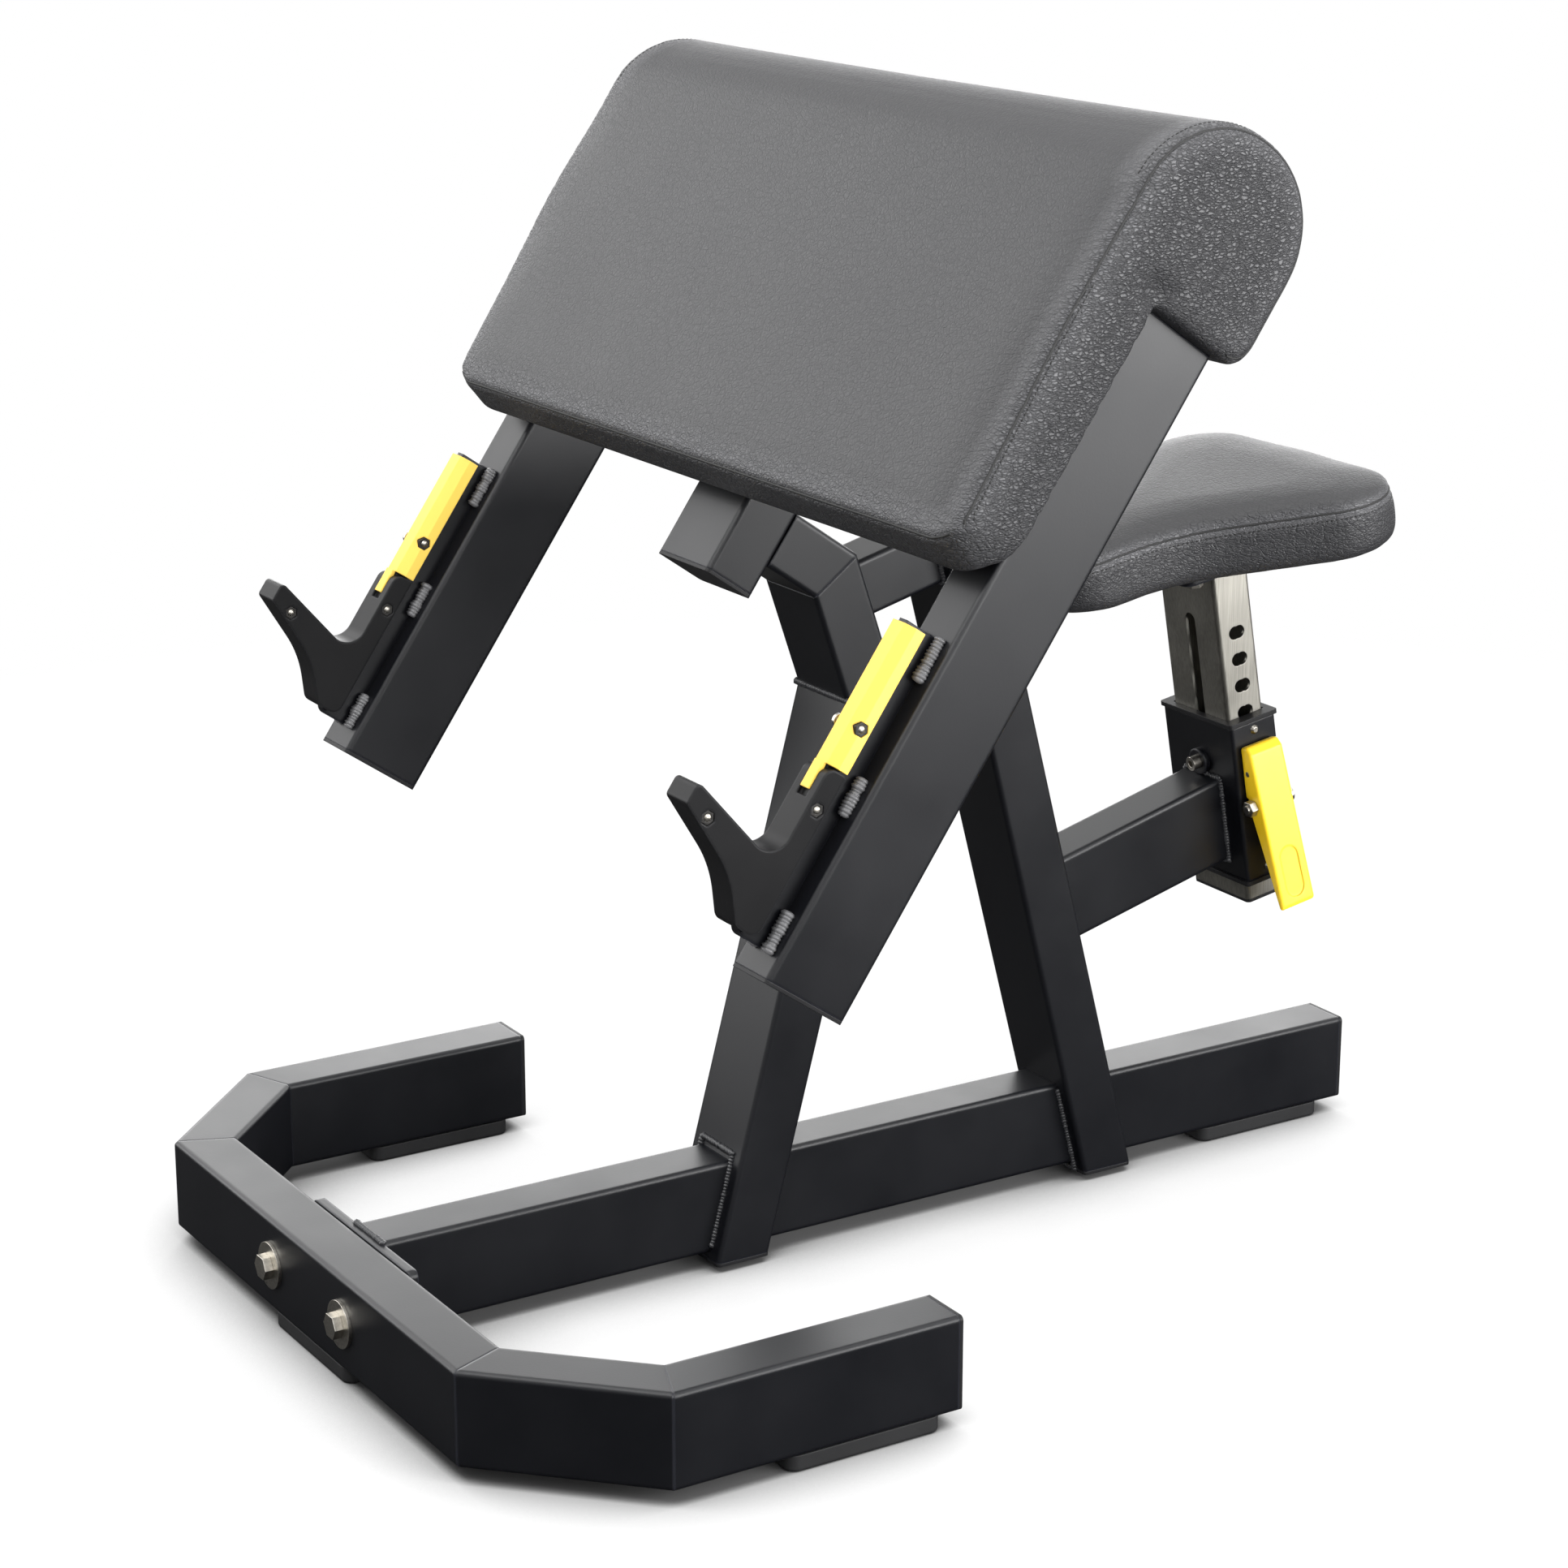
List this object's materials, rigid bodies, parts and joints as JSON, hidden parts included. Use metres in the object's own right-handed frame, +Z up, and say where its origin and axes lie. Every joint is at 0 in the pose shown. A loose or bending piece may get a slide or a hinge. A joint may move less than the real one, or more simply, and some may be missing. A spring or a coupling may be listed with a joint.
{
  "type": "preacher curl bench",
  "caption": "Free-standing preacher curl bench: welded tube frame, sloped arm pad with a rolled top, bar hooks with guards, and a padded seat on a post locked by a squeeze lever.",
  "frame": {"origin": "on the floor, under the middle of the bench's bounding box", "axes": "+Z up, +Y from the bar hooks towards the seat, +X towards the side with the seat's lever"},
  "size_m": [0.79, 1.0714, 0.9964],
  "materials": {
    "frame_paint": "satin black powder coat",
    "vinyl": "dark grey grained vinyl over foam",
    "board": "black-backed plywood",
    "bare_steel": "brushed",
    "yellow_plastic": "moulded, satin",
    "black_plastic": "moulded, satin",
    "rubber": "moulded, matt"
  },
  "bodies": {
    "frame": {"arm_pad": "vinyl", "arm_pad_board": "board", "arm_pad_bolts": "bare_steel", "arm_pad_roll_board": "board", "bushing_screws": "bare_steel", "centre_arm": "frame_paint", "elbow_lower": "frame_paint", "elbow_upper": "frame_paint", "flange_bolts": "bare_steel", "flange_nuts": "bare_steel", "flange_washers": "bare_steel", "front_cross_tube": "frame_paint", "front_foot": "rubber", "front_post": "frame_paint", "guide_boss": "frame_paint", "guide_screw": "bare_steel", "hook_nuts": "bare_steel", "hook_screws": "bare_steel", "left_arm": "frame_paint", "left_corner_tube": "frame_paint", "left_crossbar": "frame_paint", "left_hook_cover": "black_plastic", "left_hook_guard": "yellow_plastic", "left_hook_plate": "frame_paint", "left_leg_tube": "frame_paint", "leg_feet": "rubber", "lever_bracket": "frame_paint", "lever_pivot_bolt": "bare_steel", "lever_pivot_nut": "bare_steel", "lever_spring": "bare_steel", "post_bottom_caps": "black_plastic", "rear_foot": "rubber", "rear_post": "frame_paint", "right_arm": "frame_paint", "right_corner_tube": "frame_paint", "right_crossbar": "frame_paint", "right_hook_cover": "black_plastic", "right_hook_guard": "yellow_plastic", "right_hook_plate": "frame_paint", "right_leg_tube": "frame_paint", "seat_arm_tube": "frame_paint", "sleeve": "frame_paint", "sleeve_bottom_bushing": "black_plastic", "sleeve_top_bushing": "black_plastic", "spine_flange": "frame_paint", "spine_front_tube": "frame_paint", "spine_middle_tube": "frame_paint", "spine_rear_tube": "frame_paint", "top_strut": "frame_paint", "tube_end_caps": "black_plastic"},
    "seat": {"seat_post": "bare_steel", "post_end_plug": "black_plastic", "seat_plate": "frame_paint", "seat_board": "board", "seat_cushion": "vinyl", "seat_bolts": "bare_steel"},
    "lever": {"lever": "yellow_plastic", "lever_pull_pin": "bare_steel"},
    "plunger": {"lock_plunger": "bare_steel"}
  },
  "joints": [
    {"name": "seat_slide", "type": "slide", "parent": "frame", "child": "seat", "axis": [0, -0.1736, 0.9848], "range_m": [-0.127, 0.0762]},
    {"name": "lever_pivot", "type": "hinge", "parent": "frame", "child": "lever", "pos_m": [0.062, 0.40675, 0.338], "axis": [0, 0.9848, 0.1736], "range_deg": [0, 10], "stiffness_Nm_per_rad": 1.5, "springref_deg": -11.46, "deforming": ["lever_spring"]},
    {"name": "plunger_slide", "type": "slide", "parent": "frame", "child": "plunger", "axis": [1, 0, 0], "range_m": [0, 0.0056]}
  ],
  "couplings": [
    {"joint": "plunger_slide", "follows": "lever_pivot", "m_per_rad": 0.03123}
  ]
}
